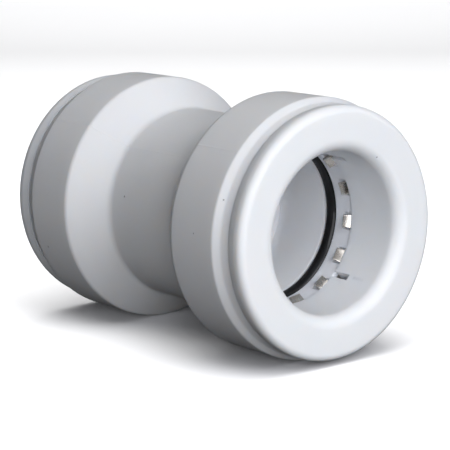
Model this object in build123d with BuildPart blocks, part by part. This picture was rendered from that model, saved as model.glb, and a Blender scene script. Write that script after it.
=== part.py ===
from build123d import *
import math
import os

os.makedirs("parts", exist_ok=True)

# Straight push fit coupling for 22 mm pipe. The pipe axis is X, Z is up, and the
# origin is at the middle of the coupling. Stations s are measured along the axis
# from the middle, the same way at both ends.

# ---- pipe ----
bore_r = 11.10            # collar bore that the 22 mm pipe passes through
seat_r = 11.15            # body bore that the pipe end seats in
stop_r = 9.70             # bore through the pipe stop
stop_half = 1.25          # half the width of the pipe stop

# ---- body outside ----
waist_r = 13.80
barrel_r = 18.00
waist_end = 7.10          # waist meets the cone
cone_end = 12.30          # cone meets the barrel
barrel_end = 20.97        # barrel meets the sloped front edge
lip_knee = 21.95          # the sloped edge turns shallower here
lip_knee_r = 17.32
lip_end = 23.20           # front end of the body
lip_r = 16.97             # outside radius at the front end
waist_fillet = 1.60
cone_fillet = 1.00
barrel_fillet = 0.60
lip_fillet = 0.12
lip_knee_fillet = 1.00

# ---- body inside ----
gland_start = 10.85       # O-ring gland
gland_end = 13.05
gland_r = 13.00
chamber_r = 15.50         # counterbore for the rings
bead_groove_r = 16.00     # groove that the retaining ring snaps into
bead_start = 20.00
bead_end = 21.20

# ---- O-ring ----
oring_section = 2.10
oring_centre_r = 11.89
oring_s = 11.98

# ---- spacer ring ----
spacer_start = gland_end
spacer_end = 15.83        # face against the grab ring's rim
crown_end = 16.30         # lands that stand up between the teeth
crown_r = 12.15
spacer_in_r = 11.28
spacer_out_r = 15.40
notch_start = 14.68       # inner end of the notch for each tooth
notch_r = 12.20
notch_width = 2.50

# ---- grab ring ----
tooth_count = 14
tooth_phase = -4.9        # degrees from +Y towards +Z
steel = 0.45
rim_start = 15.88
rim_in_r = 12.30          # inner edge of the rim, between the teeth
bend_r = 11.45            # where a tooth turns in
rim_out_r = 14.90
tooth_tip_r = 10.45
tooth_tip_s = 15.42
tooth_width = 1.80

# ---- release collar ----
sleeve_end = 16.35        # inner end of the sleeve, against the grab ring's rim
sleeve_out_r = 12.45
barb_r = 13.45
barb_end = 17.45
flange_start = 23.25
collar_front = 25.94
flange_r = 17.30          # widest, a little way in front of the rear face
flange_rear_r = 17.02
flange_widest = 24.10
flange_front_fillet = 1.05
flange_rear_fillet = 0.08
mouth_fillet = 1.75
slit_angles = (52.0, 134.1, 232.0, 314.1)   # degrees from +Y towards +Z
slit_width = 1.00
slit_end = 19.40
collar_travel = 1.50

# ---- retaining ring ----
ring_start = 19.00        # stops the barb after the travel
ring_end = lip_end
ring_in_r = 12.65
ring_out_r = 15.45
ring_bead_r = 15.92
ring_bead_start = 20.10
ring_bead_end = 21.10


# Profiles are drawn on XY, with the axis as X, and turned about it.
# ---- body ----
with BuildPart() as body:
    with BuildSketch(Plane.XY) as body_profile:
        with BuildLine() as body_outline:
            Polyline(
                (0, waist_r),
                (waist_end, waist_r),
                (cone_end, barrel_r),
                (barrel_end, barrel_r),
                (lip_knee, lip_knee_r),
                (lip_end, lip_r),
                (lip_end, chamber_r),
                (bead_end + 0.45, chamber_r),
                (bead_end, bead_groove_r),
                (bead_start, bead_groove_r),
                (bead_start, chamber_r),
                (gland_end, chamber_r),
                (gland_end, gland_r),
                (gland_start, gland_r),
                (gland_start, seat_r),
                (stop_half, seat_r),
                (stop_half, stop_r),
                (0, stop_r),
                (0, waist_r),
            )
        make_face()
        fillet(
            body_profile.vertices().sort_by_distance((waist_end, waist_r))[0],
            waist_fillet,
        )
        fillet(
            body_profile.vertices().sort_by_distance((cone_end, barrel_r))[0],
            cone_fillet,
        )
        fillet(
            body_profile.vertices().sort_by_distance((barrel_end, barrel_r))[0],
            barrel_fillet,
        )
        fillet(
            body_profile.vertices().sort_by_distance((lip_knee, lip_knee_r))[0],
            lip_knee_fillet,
        )
        fillet(
            body_profile.vertices().sort_by_distance((lip_end, lip_r))[0],
            lip_fillet,
        )
        fillet(
            body_profile.vertices().sort_by_distance((gland_start, seat_r))[0],
            0.25,
        )
        fillet(
            body_profile.vertices().sort_by_distance((stop_half, stop_r))[0],
            0.35,
        )
        mirror(about=Plane.YZ)
    revolve(axis=Axis.X)
body.part.label = "body"
export_step(body.part, "parts/body.step")


# ---- O-rings ----
with BuildPart() as o_ring_right:
    with BuildSketch(Plane.XY):
        with Locations((oring_s, oring_centre_r)):
            Circle(oring_section / 2)
    revolve(axis=Axis.X)
o_ring_right.part.label = "o_ring_right"
export_step(o_ring_right.part, "parts/o_ring_right.step")

with BuildPart() as o_ring_left:
    with BuildSketch(Plane.XY):
        with Locations((-oring_s, oring_centre_r)):
            Circle(oring_section / 2)
    revolve(axis=Axis.X)
o_ring_left.part.label = "o_ring_left"
export_step(o_ring_left.part, "parts/o_ring_left.step")


# ---- spacer ring: a flat ring with a notch behind each tooth ----
with BuildPart() as spacer_ring_right:
    with BuildSketch(Plane.XY) as spacer_profile:
        with BuildLine():
            Polyline(
                (spacer_start, spacer_in_r),
                (crown_end, spacer_in_r),
                (crown_end, crown_r),
                (spacer_end, crown_r),
                (spacer_end, spacer_out_r),
                (spacer_start, spacer_out_r),
                (spacer_start, spacer_in_r),
            )
        make_face()
        fillet(
            spacer_profile.vertices().sort_by_distance((spacer_start, spacer_in_r))[0],
            0.08,
        )
    revolve(axis=Axis.X)
    with BuildSketch(Plane.YZ.offset(notch_start)):
        with PolarLocations(notch_r / 2 + 3, tooth_count, start_angle=tooth_phase):
            Rectangle(notch_r - 6, notch_width)
    extrude(amount=crown_end - notch_start + 1, mode=Mode.SUBTRACT)
spacer_ring_right.part.label = "spacer_ring_right"
export_step(spacer_ring_right.part, "parts/spacer_ring_right.step")

with BuildPart() as spacer_ring_left:
    mirror(spacer_ring_right.part, about=Plane.YZ)
spacer_ring_left.part.label = "spacer_ring_left"
export_step(spacer_ring_left.part, "parts/spacer_ring_left.step")


# ---- grab ring: a flat steel rim with teeth bent in and away from the mouth ----
slope = math.atan2(bend_r - 0.10 - tooth_tip_r, rim_start + steel - tooth_tip_s)
with BuildPart() as grab_ring_right:
    with BuildSketch(Plane.XY) as steel_profile:
        with BuildLine():
            Polyline(
                (rim_start, rim_out_r),
                (rim_start, bend_r),
                (tooth_tip_s - steel * math.sin(slope), tooth_tip_r + steel * math.cos(slope)),
                (tooth_tip_s, tooth_tip_r),
                (rim_start + steel, bend_r - 0.10),
                (rim_start + steel, rim_out_r),
                (rim_start, rim_out_r),
            )
        make_face()
    revolve(axis=Axis.X)
    with BuildSketch(Plane.YZ.offset(tooth_tip_s - 2)):
        Circle(rim_in_r)
        with PolarLocations(rim_in_r, tooth_count, start_angle=tooth_phase):
            Rectangle(6, tooth_width, mode=Mode.SUBTRACT)
    extrude(amount=4, mode=Mode.SUBTRACT)
grab_ring_right.part.label = "grab_ring_right"
export_step(grab_ring_right.part, "parts/grab_ring_right.step")

with BuildPart() as grab_ring_left:
    mirror(grab_ring_right.part, about=Plane.YZ)
grab_ring_left.part.label = "grab_ring_left"
export_step(grab_ring_left.part, "parts/grab_ring_left.step")


# ---- release collar: flange, sleeve, and a barbed inner end with four slits ----
with BuildPart() as release_collar_right:
    with BuildSketch(Plane.XY) as collar_profile:
        with BuildLine():
            Polyline(
                (sleeve_end, bore_r),
                (collar_front, bore_r),
                (collar_front, flange_r),
                (flange_widest, flange_r),
                (flange_start, flange_rear_r),
                (flange_start, sleeve_out_r),
                (barb_end, sleeve_out_r),
                (barb_end, barb_r),
                (barb_end - 0.45, barb_r),
                (sleeve_end, barb_r - 0.65),
                (sleeve_end, bore_r),
            )
        make_face()
        fillet(
            collar_profile.vertices().sort_by_distance((collar_front, flange_r))[0],
            flange_front_fillet,
        )
        fillet(
            collar_profile.vertices().sort_by_distance((flange_start, flange_rear_r))[0],
            flange_rear_fillet,
        )
        fillet(
            collar_profile.vertices().sort_by_distance((collar_front, bore_r))[0],
            mouth_fillet,
        )
    revolve(axis=Axis.X)
    with BuildSketch(Plane.YZ.offset(sleeve_end - 1)):
        for angle in slit_angles:
            with PolarLocations(barb_r, 1, start_angle=angle):
                Rectangle(6, slit_width)
    extrude(amount=slit_end - sleeve_end + 1, mode=Mode.SUBTRACT)
release_collar_right.part.label = "release_collar_right"
export_step(release_collar_right.part, "parts/release_collar_right.step")

with BuildPart() as release_collar_left:
    mirror(release_collar_right.part, about=Plane.YZ)
release_collar_left.part.label = "release_collar_left"
export_step(release_collar_left.part, "parts/release_collar_left.step")


# ---- retaining ring: snapped into the socket's mouth, behind the collar's flange ----
with BuildPart() as retaining_ring_right:
    with BuildSketch(Plane.XY) as ring_profile:
        with BuildLine():
            Polyline(
                (ring_start, ring_in_r),
                (ring_end, ring_in_r),
                (ring_end, ring_out_r),
                (ring_bead_end + 0.45, ring_out_r),
                (ring_bead_end, ring_bead_r),
                (ring_bead_start, ring_bead_r),
                (ring_bead_start, ring_out_r),
                (ring_start, ring_out_r),
                (ring_start, ring_in_r),
            )
        make_face()
        chamfer(
            ring_profile.vertices().sort_by_distance((ring_start, ring_out_r))[0],
            0.40,
        )
    revolve(axis=Axis.X)
retaining_ring_right.part.label = "retaining_ring_right"
export_step(retaining_ring_right.part, "parts/retaining_ring_right.step")

with BuildPart() as retaining_ring_left:
    mirror(retaining_ring_right.part, about=Plane.YZ)
retaining_ring_left.part.label = "retaining_ring_left"
export_step(retaining_ring_left.part, "parts/retaining_ring_left.step")
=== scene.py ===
import math

import bmesh
import bpy
from mathutils import Matrix, Vector


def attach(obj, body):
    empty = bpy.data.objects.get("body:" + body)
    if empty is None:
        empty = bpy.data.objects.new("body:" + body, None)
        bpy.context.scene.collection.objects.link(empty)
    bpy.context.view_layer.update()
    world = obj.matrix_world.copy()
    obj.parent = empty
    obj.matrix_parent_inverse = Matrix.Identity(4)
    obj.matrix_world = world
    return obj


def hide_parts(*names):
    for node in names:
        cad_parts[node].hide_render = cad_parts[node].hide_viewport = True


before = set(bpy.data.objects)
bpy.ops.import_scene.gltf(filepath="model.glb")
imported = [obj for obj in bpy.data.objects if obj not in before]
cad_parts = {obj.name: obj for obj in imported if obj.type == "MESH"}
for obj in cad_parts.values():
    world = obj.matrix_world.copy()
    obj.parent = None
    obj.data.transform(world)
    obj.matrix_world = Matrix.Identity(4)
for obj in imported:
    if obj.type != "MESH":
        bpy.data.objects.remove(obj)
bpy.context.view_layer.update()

MM = 0.001


# ---------------------------------------------------------------- profiles
# A profile is a closed outline of (station along X, radius) in millimetres.
def rounded(points, steps=10):
    """Rounds each corner by its own radius, with a support point beside each arc so that flats stay flat."""
    out = []
    n = len(points)
    for i in range(n):
        s, r, f = points[i]
        a = Vector(points[i - 1][:2]) - Vector((s, r))
        b = Vector(points[(i + 1) % n][:2]) - Vector((s, r))
        la, lb = a.length, b.length
        a.normalize()
        b.normalize()
        turn = math.acos(max(-1.0, min(1.0, a.dot(b))))
        if f <= 0 or turn > math.radians(179):
            out.append((s, r))
            continue
        cut = f / math.tan(turn / 2)
        centre = Vector((s, r)) + (a + b).normalized() * (f / math.sin(turn / 2))
        p0 = Vector((s, r)) + a * cut
        p1 = Vector((s, r)) + b * cut
        k = max(3, round(steps * (math.pi - turn) / (math.pi / 2)))
        sa = min(0.12, max(0.0, (la - cut) * 0.2))
        sb = min(0.12, max(0.0, (lb - cut) * 0.2))
        out.append(tuple(p0 + a * sa))
        v0, v1 = p0 - centre, p1 - centre
        ang = math.atan2(v0.x * v1.y - v0.y * v1.x, v0.dot(v1))
        for j in range(k + 1):
            t = ang * j / k
            c, d = math.cos(t), math.sin(t)
            out.append(
                (
                    centre.x + v0.x * c - v0.y * d,
                    centre.y + v0.x * d + v0.y * c,
                )
            )
        out.append(tuple(p1 + b * sb))
    return out


def stretch(profile, longest):
    """Adds points so that no step along the outline is longer than this."""
    out = []
    for i, p in enumerate(profile):
        q = profile[(i + 1) % len(profile)]
        out.append(p)
        d = math.hypot(q[0] - p[0], q[1] - p[1])
        k = int(d / longest)
        for j in range(1, k + 1):
            t = j / (k + 1)
            out.append((p[0] + (q[0] - p[0]) * t, p[1] + (q[1] - p[1]) * t))
    return out


def crossed(profile, s0, r_max):
    """Adds a point wherever the outline crosses this station nearer the axis than r_max."""
    out = []
    for i, p in enumerate(profile):
        q = profile[(i + 1) % len(profile)]
        out.append(p)
        if (p[0] - s0) * (q[0] - s0) < -1e-12 and max(p[1], q[1]) < r_max:
            out.append((s0, p[1] + (q[1] - p[1]) * (s0 - p[0]) / (q[0] - p[0])))
    return out


# ---------------------------------------------------------------- turning
def turned(name, outline, steps=360, cut=None, cuts=(), side=1, lift=None, extra=()):
    """Turns an outline about X. Inside each (start, end) of cuts, in degrees, the outline is changed by cut(s, r, index)."""
    outline = list(outline)
    other = [cut(s, r, i) for i, (s, r) in enumerate(outline)] if cut else outline
    marks = {}
    for k in range(steps):
        marks[round(k * 360 / steps, 5)] = None
    for a in extra:
        marks[round(a % 360, 5)] = None
    spans = [(a % 360, (b - a)) for a, b in cuts]
    for a, w in spans:
        marks[round(a, 5)] = None
        marks[round((a + w) % 360, 5)] = None
    angles = sorted(marks)

    def within(x):
        return any(1e-6 < (x - a) % 360 < w - 1e-6 for a, w in spans)

    bm = bmesh.new()

    def ring(angle, shape):
        t = math.radians(angle)
        c, d = math.cos(t), math.sin(t)
        out = []
        for i, (s, r) in enumerate(shape):
            if lift:
                r = r + lift(s, r, angle)
            out.append(bm.verts.new((side * s * MM, r * c * MM, r * d * MM)))
        return out

    rings = {}

    def get(angle, which):
        key = (angle, which)
        if key not in rings:
            rings[key] = ring(angle, other if which else outline)
        return rings[key]

    def face(vs):
        keep = []
        for v in vs:
            if all((v.co - w.co).length > 1e-9 for w in keep):
                keep.append(v)
        if len(keep) >= 3:
            bm.faces.new(keep)

    m = len(outline)
    for k, a in enumerate(angles):
        b = angles[(k + 1) % len(angles)]
        mid = (a + ((b - a) % 360) / 2) % 360
        w = within(mid)
        ra, rb = get(a, w), get(b, w)
        for i in range(m):
            j = (i + 1) % m
            face([ra[i], ra[j], rb[j], rb[i]])
    # a flat wall closes the cut at each end of its span
    moved = [math.dist(outline[i], other[i]) > 1e-9 for i in range(m)]
    for key in list(rings):
        a, w = key
        if w and (a, False) in rings:
            ra, rb = rings[(a, False)], rings[(a, True)]
            for i in range(m):
                if moved[i] and not moved[i - 1]:
                    run = [i]
                    while moved[(run[-1] + 1) % m]:
                        run.append((run[-1] + 1) % m)
                    face(
                        [ra[i - 1]]
                        + [ra[n] for n in run]
                        + [ra[(run[-1] + 1) % m]]
                        + [rb[n] for n in reversed(run)]
                    )
    bmesh.ops.remove_doubles(bm, verts=bm.verts[:], dist=2e-7)
    bmesh.ops.dissolve_degenerate(bm, edges=bm.edges[:], dist=1e-8)
    bmesh.ops.recalc_face_normals(bm, faces=bm.faces[:])
    return bm


def bevelled(bm, width, angle=50, segments=2):
    edges = [
        e
        for e in bm.edges
        if len(e.link_faces) == 2 and e.calc_face_angle(0) > math.radians(angle)
    ]
    bmesh.ops.bevel(
        bm,
        geom=edges,
        offset=width * MM,
        offset_type="OFFSET",
        segments=segments,
        profile=0.5,
        affect="EDGES",
        clamp_overlap=True,
    )
    bmesh.ops.recalc_face_normals(bm, faces=bm.faces[:])


def piece(name, bm, material, body, node, angle=30):
    bmesh.ops.triangulate(
        bm, faces=[f for f in bm.faces if len(f.verts) > 4], ngon_method="EAR_CLIP"
    )
    bmesh.ops.dissolve_degenerate(bm, edges=bm.edges[:], dist=1e-8)
    for f in bm.faces:
        f.smooth = True
    for e in bm.edges:
        e.smooth = not (
            len(e.link_faces) == 2 and e.calc_face_angle(0) > math.radians(angle)
        )
    mesh = bpy.data.meshes.new(name)
    bm.to_mesh(mesh)
    bm.free()
    mesh.materials.append(material)
    o = bpy.data.objects.new(name, mesh)
    bpy.context.scene.collection.objects.link(o)
    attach(o, body)
    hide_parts(node)
    return o


# ---------------------------------------------------------------- materials
def material(name):
    m = bpy.data.materials.new(name)
    m.use_nodes = True
    t = m.node_tree
    t.nodes.clear()
    out = t.nodes.new("ShaderNodeOutputMaterial")
    b = t.nodes.new("ShaderNodeBsdfPrincipled")
    t.links.new(b.outputs[0], out.inputs[0])
    co = t.nodes.new("ShaderNodeTexCoord")
    return m, t, b, co.outputs["Object"]


def noise(t, co, scale, detail=3, rough=0.5, stretch_x=1.0):
    mp = t.nodes.new("ShaderNodeMapping")
    mp.inputs["Scale"].default_value = (stretch_x, 1, 1)
    t.links.new(co, mp.inputs["Vector"])
    n = t.nodes.new("ShaderNodeTexNoise")
    n.inputs["Scale"].default_value = scale
    n.inputs["Detail"].default_value = detail
    n.inputs["Roughness"].default_value = rough
    t.links.new(mp.outputs[0], n.inputs["Vector"])
    return n.outputs[0]


def spread(t, value, lo, hi, to_lo, to_hi):
    m = t.nodes.new("ShaderNodeMapRange")
    m.inputs["From Min"].default_value = lo
    m.inputs["From Max"].default_value = hi
    m.inputs["To Min"].default_value = to_lo
    m.inputs["To Max"].default_value = to_hi
    t.links.new(value, m.inputs["Value"])
    return m.outputs[0]


def tint(t, value, lo, hi, dark, light):
    r = t.nodes.new("ShaderNodeValToRGB")
    r.color_ramp.elements[0].position = lo
    r.color_ramp.elements[0].color = (*dark, 1)
    r.color_ramp.elements[1].position = hi
    r.color_ramp.elements[1].color = (*light, 1)
    t.links.new(value, r.inputs[0])
    return r.outputs[0]


def bump(t, b, value, strength, distance, previous=None):
    n = t.nodes.new("ShaderNodeBump")
    n.inputs["Strength"].default_value = strength
    n.inputs["Distance"].default_value = distance
    t.links.new(value, n.inputs["Height"])
    if previous is not None:
        t.links.new(previous, n.inputs["Normal"])
    t.links.new(n.outputs[0], b.inputs["Normal"])
    return n.outputs[0]


def marks_on(t, co, colour, marks):
    """Small fixed darker spots multiplied into the base colour, each (place in mm, inner radius, outer radius, how
    dark).
    """
    for place, inner, outer, dark in marks:
        v = t.nodes.new("ShaderNodeVectorMath")
        v.operation = "DISTANCE"
        v.inputs[1].default_value = tuple(c * MM for c in place)
        t.links.new(co, v.inputs[0])
        mix = t.nodes.new("ShaderNodeMix")
        mix.data_type = "RGBA"
        mix.blend_type = "MULTIPLY"
        mix.inputs[0].default_value = 1.0
        t.links.new(colour, mix.inputs[6])
        t.links.new(spread(t, v.outputs["Value"], inner * MM, outer * MM, dark, 1.0), mix.inputs[7])
        colour = mix.outputs[2]
    return colour


def white_plastic(name, light, dark, rough, glow, shift, marks=()):
    m, t, b, co = material(name)
    plain = co
    mp = t.nodes.new("ShaderNodeMapping")
    mp.inputs["Location"].default_value = (shift, shift * 2, shift * 3)
    t.links.new(co, mp.inputs["Vector"])
    co = mp.outputs[0]
    cloud = noise(t, co, 55, 2, 0.5)
    base = tint(t, cloud, 0.35, 0.65, dark, light)
    # a few tiny specks in the moulding
    v = t.nodes.new("ShaderNodeTexVoronoi")
    v.inputs["Scale"].default_value = 95
    v.inputs["Randomness"].default_value = 1.0
    t.links.new(co, v.inputs["Vector"])
    speck = spread(t, v.outputs["Distance"], 0.014, 0.024, 0.7, 1.0)
    mix = t.nodes.new("ShaderNodeMix")
    mix.data_type = "RGBA"
    mix.blend_type = "MULTIPLY"
    mix.inputs[0].default_value = 1.0
    t.links.new(base, mix.inputs[6])
    t.links.new(speck, mix.inputs[7])
    t.links.new(marks_on(t, plain, mix.outputs[2], marks), b.inputs["Base Color"])
    wear = noise(t, co, 420, 4, 0.55)
    t.links.new(spread(t, wear, 0.3, 0.7, rough - 0.05, rough + 0.07), b.inputs["Roughness"])
    b.inputs["IOR"].default_value = 1.5
    b.inputs["Subsurface Weight"].default_value = glow
    b.inputs["Subsurface Radius"].default_value = (1.0, 0.92, 0.85)
    b.inputs["Subsurface Scale"].default_value = 0.0010
    peel = noise(t, co, 900, 2, 0.5)
    first = bump(t, b, peel, 0.10, 0.00003)
    flow = noise(t, co, 130, 1, 0.4, 0.25)
    bump(t, b, flow, 0.08, 0.0001, first)
    return m


BODY_MARKS = (
    ((-3.98, -13.54, 2.68), 0.08, 0.17, 0.35),
    ((17.20, -17.96, 1.13), 0.06, 0.14, 0.5),
    ((21.60, -16.50, 6.00), 0.08, 0.16, 0.45),
)
COLLAR_MARKS = (
    ((25.67, 6.84, 9.76), 0.08, 0.16, 0.5),
    # the next four spots are a faint darker streak along the collar bore, painted into the base colour
    ((20.60, 7.81, -7.89), 0.05, 0.40, 0.86),
    ((21.10, 7.81, -7.89), 0.05, 0.40, 0.90),
    ((21.60, 7.81, -7.89), 0.05, 0.42, 0.92),
    ((22.15, 7.81, -7.89), 0.05, 0.45, 0.94),
)
body_white = white_plastic("body_white", (0.912, 0.924, 0.952), (0.892, 0.904, 0.934), 0.50, 1.0, 0.0, BODY_MARKS)
collar_white = white_plastic("collar_white", (0.905, 0.926, 0.965), (0.886, 0.907, 0.948), 0.54, 1.0, 0.7, COLLAR_MARKS)
ring_white = white_plastic("ring_white", (0.86, 0.865, 0.88), (0.83, 0.84, 0.86), 0.45, 0.6, 1.3)
spacer_white = white_plastic("spacer_white", (0.912, 0.93, 0.965), (0.888, 0.906, 0.948), 0.42, 0.5, 2.1)


def rubber():
    m, t, b, co = material("black_rubber")
    base = tint(t, noise(t, co, 300, 4, 0.6), 0.3, 0.7, (0.003, 0.003, 0.0035), (0.008, 0.008, 0.009))
    t.links.new(base, b.inputs["Base Color"])
    t.links.new(spread(t, noise(t, co, 160, 3, 0.6), 0.35, 0.65, 0.45, 0.65), b.inputs["Roughness"])
    b.inputs["IOR"].default_value = 1.3
    b.inputs["Coat Weight"].default_value = 0.25
    b.inputs["Coat Roughness"].default_value = 0.12
    bump(t, b, noise(t, co, 1500, 3, 0.6), 0.15, 0.00003)
    return m


def steel():
    m, t, b, co = material("spring_steel")
    base = tint(t, noise(t, co, 240, 3, 0.6, 0.3), 0.3, 0.7, (0.47, 0.44, 0.40), (0.66, 0.63, 0.58))
    t.links.new(base, b.inputs["Base Color"])
    b.inputs["Metallic"].default_value = 1.0
    t.links.new(spread(t, noise(t, co, 700, 4, 0.6), 0.3, 0.7, 0.20, 0.36), b.inputs["Roughness"])
    bump(t, b, noise(t, co, 1800, 2, 0.5, 0.15), 0.12, 0.00002)
    return m


black_rubber = rubber()
spring_steel = steel()

# ---------------------------------------------------------------- body
half = [
    (7.10, 13.80, 1.60),
    (12.30, 18.00, 1.00),
    (20.97, 18.00, 0.60),
    (21.95, 17.32, 1.00),
    (23.20, 17.03, 0.02),
    (23.20, 15.50, 0.10),
    (21.65, 15.50, 0.05),
    (21.20, 16.00, 0.05),
    (20.00, 16.00, 0.05),
    (20.00, 15.50, 0.05),
    (13.05, 15.50, 0.12),
    (13.05, 13.00, 0.10),
    (10.85, 13.00, 0.20),
    (10.85, 11.15, 0.25),
    (1.25, 11.15, 0.12),
    (1.25, 9.70, 0.35),
]
body_outline = stretch(
    rounded(half + [(-s, r, f) for s, r, f in reversed(half)]), 1.5
)
PARTING = (138.7, 318.7)


def seam(s, r, angle):
    """The raised line where the halves of the mould met, on the outside only."""
    if abs(s) > 22.0 or r < 13.7:
        return 0.0
    d = min(abs((angle - p + 180) % 360 - 180) for p in PARTING)
    x = math.radians(d) * r
    fade = min(1.0, (22.0 - abs(s)) / 1.2)
    return 0.032 * fade * math.exp(-((x / 0.11) ** 2))


fine = []
for p in PARTING:
    for d in (0.12, 0.25, 0.4, 0.58, 0.8, 1.1):
        fine += [p - d, p + d]
    fine.append(p)
piece(
    "body_moulding",
    turned("body_moulding", body_outline, 360, lift=seam, extra=fine),
    body_white,
    "coupling_body",
    "body",
)

# ---------------------------------------------------------------- collars
collar = rounded(
    [
        (16.35, 11.10, 0.12),
        (25.94, 11.10, 1.75),
        (25.94, 17.30, 1.05),
        (24.45, 17.30, 0.60),
        (23.22, 17.08, 0.02),
        (23.25, 12.45, 0.20),
        (17.45, 12.45, 0.08),
        (17.45, 13.45, 0.10),
        (17.00, 13.45, 0.15),
        (16.35, 12.80, 0.12),
    ],
    14,
)
collar = crossed(stretch(collar, 1.5), 19.40, 12.6)
slit_half = math.degrees(0.5 / 11.6)
slits = [(a - slit_half, a + slit_half) for a in (52.0, 134.1, 232.0, 314.1)]


def slit_cut(s, r, i):
    return (19.40, min(r, 12.45)) if s < 19.40 - 1e-6 else (s, r)


# ---------------------------------------------------------------- spacer rings
spacer = rounded(
    [
        (13.05, 11.28, 0.08),
        (16.30, 11.28, 0.07),
        (16.30, 12.15, 0.05),
        (15.83, 12.15, 0.0),
        (15.83, 15.40, 0.10),
        (13.05, 15.40, 0.10),
    ],
    8,
)
spacer = crossed(spacer, 14.68, 12.0)
foot = next(i for i, p in enumerate(spacer) if p == (15.83, 12.15))
spacer[foot + 1 : foot + 1] = [(15.83, 12.2)]
PITCH = 360 / 14
TOOTH = -4.9
notch_half = math.degrees(1.25 / 11.5)
notches = [(TOOTH + PITCH * k - notch_half, TOOTH + PITCH * k + notch_half) for k in range(14)]


def notch_cut(s, r, i):
    if i == foot:
        return (14.68, 12.2)
    if i < foot and s > 14.68 + 1e-6:
        return (14.68, r)
    return (s, r)


# ---------------------------------------------------------------- grab rings
back = math.sin(math.radians(44.7)) * 0.45
tooth = [
    (15.88, 14.90),
    (15.88, 12.30),
    (15.88, 11.62),
    (15.85, 11.50),
    (15.78, 11.40),
    (15.42 - back, 10.45 + back),
    (15.42 - back * 0.5 - 0.02, 10.45 + back * 0.5 - 0.02),
    (15.42, 10.45),
    (16.18, 11.20),
    (16.27, 11.30),
    (16.32, 11.42),
    (16.33, 11.60),
    (16.33, 12.30),
    (16.33, 14.90),
]
tooth_half = math.degrees(0.90 / 10.95)
gaps = [
    (TOOTH + PITCH * k + tooth_half, TOOTH + PITCH * (k + 1) - tooth_half) for k in range(14)
]


def gap_cut(s, r, i):
    if r >= 12.30 - 1e-6:
        return (s, r)
    return (15.88, 12.30) if i <= 6 else (16.33, 12.30)


# ---------------------------------------------------------------- plain rings
o_ring = [
    (
        11.98 + 1.05 * math.cos(2 * math.pi * k / 56),
        11.89 + 1.05 * math.sin(2 * math.pi * k / 56),
    )
    for k in range(56)
]
retaining = rounded(
    [
        (19.00, 12.65, 0.15),
        (23.20, 12.65, 0.15),
        (23.20, 15.45, 0.10),
        (21.55, 15.45, 0.05),
        (21.10, 15.92, 0.05),
        (20.10, 15.92, 0.05),
        (20.10, 15.45, 0.05),
        (19.00, 15.45, 0.35),
    ],
    8,
)

for end, side in (("right", 1), ("left", -1)):
    bm = turned("collar", collar, 360, slit_cut, slits, side)
    piece("release_collar_skin_" + end, bm, collar_white, "collar_" + end, "release_collar_" + end)
    bm = turned("spacer", spacer, 336, notch_cut, notches, side)
    piece("spacer_skin_" + end, bm, spacer_white, "coupling_body", "spacer_ring_" + end)
    bm = turned("grab", tooth, 336, gap_cut, gaps, side)
    bevelled(bm, 0.05)
    piece("grab_ring_steel_" + end, bm, spring_steel, "collar_" + end, "grab_ring_" + end)
    bm = turned("seal", o_ring, 300, side=side)
    piece("o_ring_seal_" + end, bm, black_rubber, "coupling_body", "o_ring_" + end)
    bm = turned("retain", retaining, 300, side=side)
    piece("retaining_ring_skin_" + end, bm, ring_white, "coupling_body", "retaining_ring_" + end)

# ---------------------------------------------------------------- stage
def stage_sheet():
    m, t, b, co = material("stage_white")
    base = tint(t, noise(t, co, 6, 3, 0.5), 0.3, 0.7, (0.93, 0.93, 0.935), (0.95, 0.95, 0.955))
    t.links.new(base, b.inputs["Base Color"])
    b.inputs["Roughness"].default_value = 0.7
    bm = bmesh.new()
    z = -0.018
    path = [(-1.0, z), (0.45, z)]
    for k in range(1, 13):
        a = math.radians(90 * k / 12)
        path.append((0.45 + 0.25 * math.sin(a), z + 0.25 * (1 - math.cos(a))))
    path.append((0.70, 1.3))
    fw = Vector((-0.75825, 0.62445, 0)).normalized()
    rt = Vector((fw.y, -fw.x, 0))
    rows = []
    for d, h in path:
        rows.append([bm.verts.new(fw * d + rt * w + Vector((0, 0, h))) for w in (-1.6, 1.6)])
    for a, b2 in zip(rows, rows[1:]):
        f = bm.faces.new([a[0], a[1], b2[1], b2[0]])
        f.smooth = True
    bmesh.ops.recalc_face_normals(bm, faces=bm.faces[:])
    mesh = bpy.data.meshes.new("stage_floor")
    bm.to_mesh(mesh)
    bm.free()
    mesh.materials.append(m)
    o = bpy.data.objects.new("stage_floor", mesh)
    bpy.context.scene.collection.objects.link(o)
    return o


stage = stage_sheet()
stage.visible_diffuse = False
stage.visible_glossy = False


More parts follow.
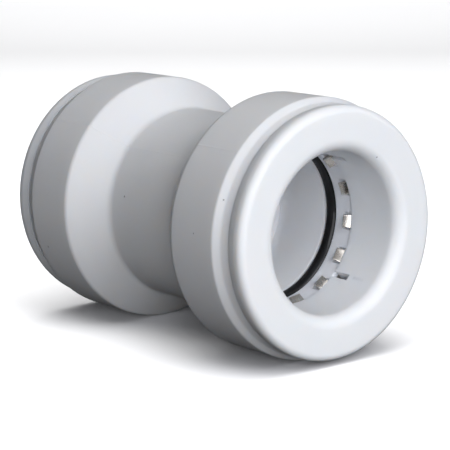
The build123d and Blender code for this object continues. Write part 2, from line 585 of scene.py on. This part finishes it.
def area(name, place, target, size, power, colour=(1, 1, 1), size_y=None):
    d = bpy.data.lights.new(name, "AREA")
    d.shape = "RECTANGLE"
    d.size = size
    d.size_y = size_y or size
    d.energy = power
    d.color = colour
    o = bpy.data.objects.new(name, d)
    o.location = place
    o.rotation_euler = (Vector(target) - Vector(place)).to_track_quat("-Z", "Y").to_euler()
    bpy.context.scene.collection.objects.link(o)
    return o


def soft_box(name, direction, size, distance, power, colour=(1, 1, 1)):
    d = Vector(direction).normalized() * distance
    return area(name, d, (0, 0, 0), size, power, colour)


COOL = (0.97, 0.98, 1.03)
soft_box("key", (0.85, 0.0, 0.5), 0.35, 0.6, 2.05, COOL)
soft_box("front", (1.0, 0.0, 0.05), 0.35, 0.6, 0.72, COOL)
soft_box("front_left", (0.79, -0.6, 0.12), 0.35, 0.6, 1.88, COOL)
soft_box("side", (0.45, -0.8, 0.4), 0.35, 0.6, 0.19)
soft_box("rear_top", (-0.4, 0.3, 0.87), 0.35, 0.6, 0.70)

# two washes that light the floor and the backdrop only
stage_only = bpy.data.collections.new("stage_only")
stage_only.objects.link(stage)
for name, place, target, size, power in (
    ("backdrop_wash", (0.05, -0.05, 0.65), (-0.75, 0.62, 0.10), 0.7, 6.5),
    ("floor_wash", (-0.05, 0.05, 0.75), (-0.05, 0.04, -0.018), 0.9, 2.2),
):
    area(name, place, target, size, power).light_linking.receiver_collection = stage_only

world = bpy.data.worlds.new("studio")
world.use_nodes = True
bg = world.node_tree.nodes.get("Background")
bg.inputs[0].default_value = (0.96, 0.97, 1.0, 1)
bg.inputs[1].default_value = 0.0115
bpy.context.scene.world = world

bpy.context.scene.view_settings.view_transform = "Standard"

# ---------------------------------------------------------------- camera
cam = bpy.data.cameras.new("camera")
cam.sensor_fit = "HORIZONTAL"
cam.sensor_width = 36.0
cam.lens = 139.66
cam.clip_start = 0.01
cam.clip_end = 10.0
o = bpy.data.objects.new("camera", cam)
right = Vector((0.63571, 0.77192, 0.0))
up = Vector((-0.14466, 0.11914, 0.98228))
fwd = Vector((-0.75825, 0.62445, -0.18741))
m = Matrix(
    (
        (right.x, up.x, -fwd.x, 0.19202),
        (right.y, up.y, -fwd.y, -0.15661),
        (right.z, up.z, -fwd.z, 0.04481),
        (0, 0, 0, 1),
    )
)
o.matrix_world = m
bpy.context.scene.collection.objects.link(o)
bpy.context.scene.camera = o
